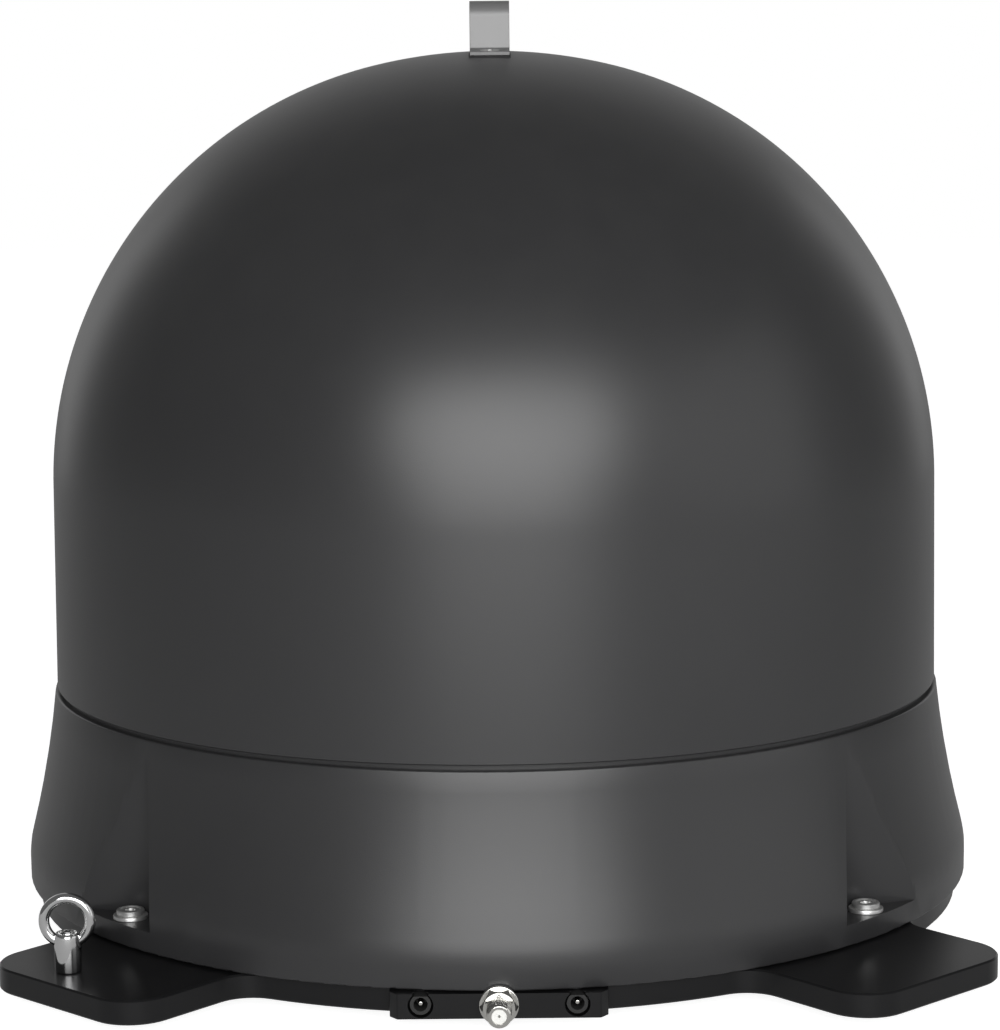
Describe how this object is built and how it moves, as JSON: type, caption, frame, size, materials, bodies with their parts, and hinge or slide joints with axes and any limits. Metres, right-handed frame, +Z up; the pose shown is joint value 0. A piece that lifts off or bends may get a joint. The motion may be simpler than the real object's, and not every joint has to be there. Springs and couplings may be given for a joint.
{
  "type": "portable satellite dome antenna",
  "caption": "Dark domed cover with a strap handle on a four-lobed base plate, hiding a turntable, a tilting dish reflector, its gear drives and a feed converter.",
  "frame": {"origin": "on the dome's upright axis, at the base plate's underside", "axes": "+Z up, -Y towards the connectors at the front, +X towards the object's right as seen from the front"},
  "size_m": [0.4228, 0.4449, 0.4004],
  "materials": {
    "cover_plastic": "satin moulded",
    "plate_plastic": "smooth, slightly glossy sheet",
    "handle_metal": "flat grey",
    "rubber": "matt",
    "steel": "bright",
    "eye_chrome": "polished",
    "nickel": "plated, bright",
    "white_plastic": "smooth",
    "brass": "machined",
    "socket_plastic": "smooth",
    "aluminium": "machined",
    "gear_plastic": "natural acetal",
    "lead_jacket": "smooth jacket",
    "board_green": "solder resist",
    "sheet_steel": "zinc plated",
    "motor_metal": "drawn can",
    "tinned_steel": "tinned",
    "reflector_paint": "light grey",
    "lnb_plastic": "off-white"
  },
  "bodies": {
    "base": {"base_plate": "plate_plastic", "rubber_feet": "rubber", "thread_inserts": "brass", "seal_ring": "rubber", "eye_bolt": "eye_chrome", "eye_stud": "steel", "eye_locknut": "steel", "coax_socket": "nickel", "coax_insulator": "white_plastic", "coax_washer": "nickel", "coax_nut": "nickel", "power_socket_left": "socket_plastic", "power_socket_right": "socket_plastic", "power_pins": "nickel", "azimuth_spindle": "aluminium", "base_screws": "steel", "bearing_inner_ring": "steel", "azimuth_gear": "gear_plastic", "rotary_stator": "nickel", "coax_lead": "lead_jacket", "power_leads": "lead_jacket", "power_board": "board_green", "board_parts": "socket_plastic"},
    "cover": {"dome_shell": "cover_plastic", "skirt_ring": "cover_plastic", "carry_handle": "handle_metal", "handle_gaskets": "rubber", "handle_screws": "steel", "handle_nuts": "steel", "cover_screws": "steel", "cover_washers": "steel"},
    "turntable": {"turntable_plate": "aluminium", "turntable_hub": "aluminium", "bearing_outer_ring": "steel", "bearing_balls": "steel", "yoke_left": "sheet_steel", "yoke_right": "sheet_steel", "turntable_screws": "steel", "azimuth_motor": "motor_metal", "elevation_motor": "motor_metal", "pivot_pins": "steel", "rotary_rotor": "nickel", "tuner_case": "tinned_steel", "tuner_lid": "tinned_steel", "riser_lead": "lead_jacket"},
    "azimuth_drive": {"azimuth_pinion": "gear_plastic", "azimuth_shaft": "steel"},
    "elevation_drive": {"elevation_pinion": "gear_plastic", "elevation_shaft": "steel"},
    "dish": {"reflector": "reflector_paint", "back_bracket": "sheet_steel", "reflector_screws": "steel", "pivot_bushes": "brass", "elevation_sector": "gear_plastic", "feed_arm": "aluminium", "lnb_clamp": "socket_plastic", "lnb_lead": "lead_jacket"},
    "converter": {"lnb_body": "lnb_plastic", "lnb_horn": "lnb_plastic"}
  },
  "joints": [
    {"name": "cover_lift", "type": "slide", "parent": "base", "child": "cover", "axis": [0, 0, 1], "range_m": [0, 0.4]},
    {"name": "azimuth", "type": "hinge", "parent": "base", "child": "turntable", "pos_m": [0, 0, 0.023], "axis": [0, 0, 1], "continuous": true},
    {"name": "azimuth_pinion_spin", "type": "hinge", "parent": "turntable", "child": "azimuth_drive", "pos_m": [-0.07893, 0.02873, 0.02], "axis": [0, 0, 1], "continuous": true},
    {"name": "elevation", "type": "hinge", "parent": "turntable", "child": "dish", "pos_m": [0, 0.05, 0.172], "axis": [-1, 0, 0], "range_deg": [-15, 32]},
    {"name": "elevation_pinion_spin", "type": "hinge", "parent": "turntable", "child": "elevation_drive", "pos_m": [0.04, 0.09915, 0.13759], "axis": [-1, 0, 0], "range_deg": [-165, 80]},
    {"name": "lnb_skew", "type": "hinge", "parent": "dish", "child": "converter", "pos_m": [0, -0.0799, 0.247], "axis": [0, -0.866, 0.5], "range_deg": [-25, 25]}
  ],
  "couplings": [
    {"joint": "azimuth_pinion_spin", "follows": "azimuth", "ratio": 6},
    {"joint": "elevation_pinion_spin", "follows": "elevation", "ratio": -5}
  ]
}
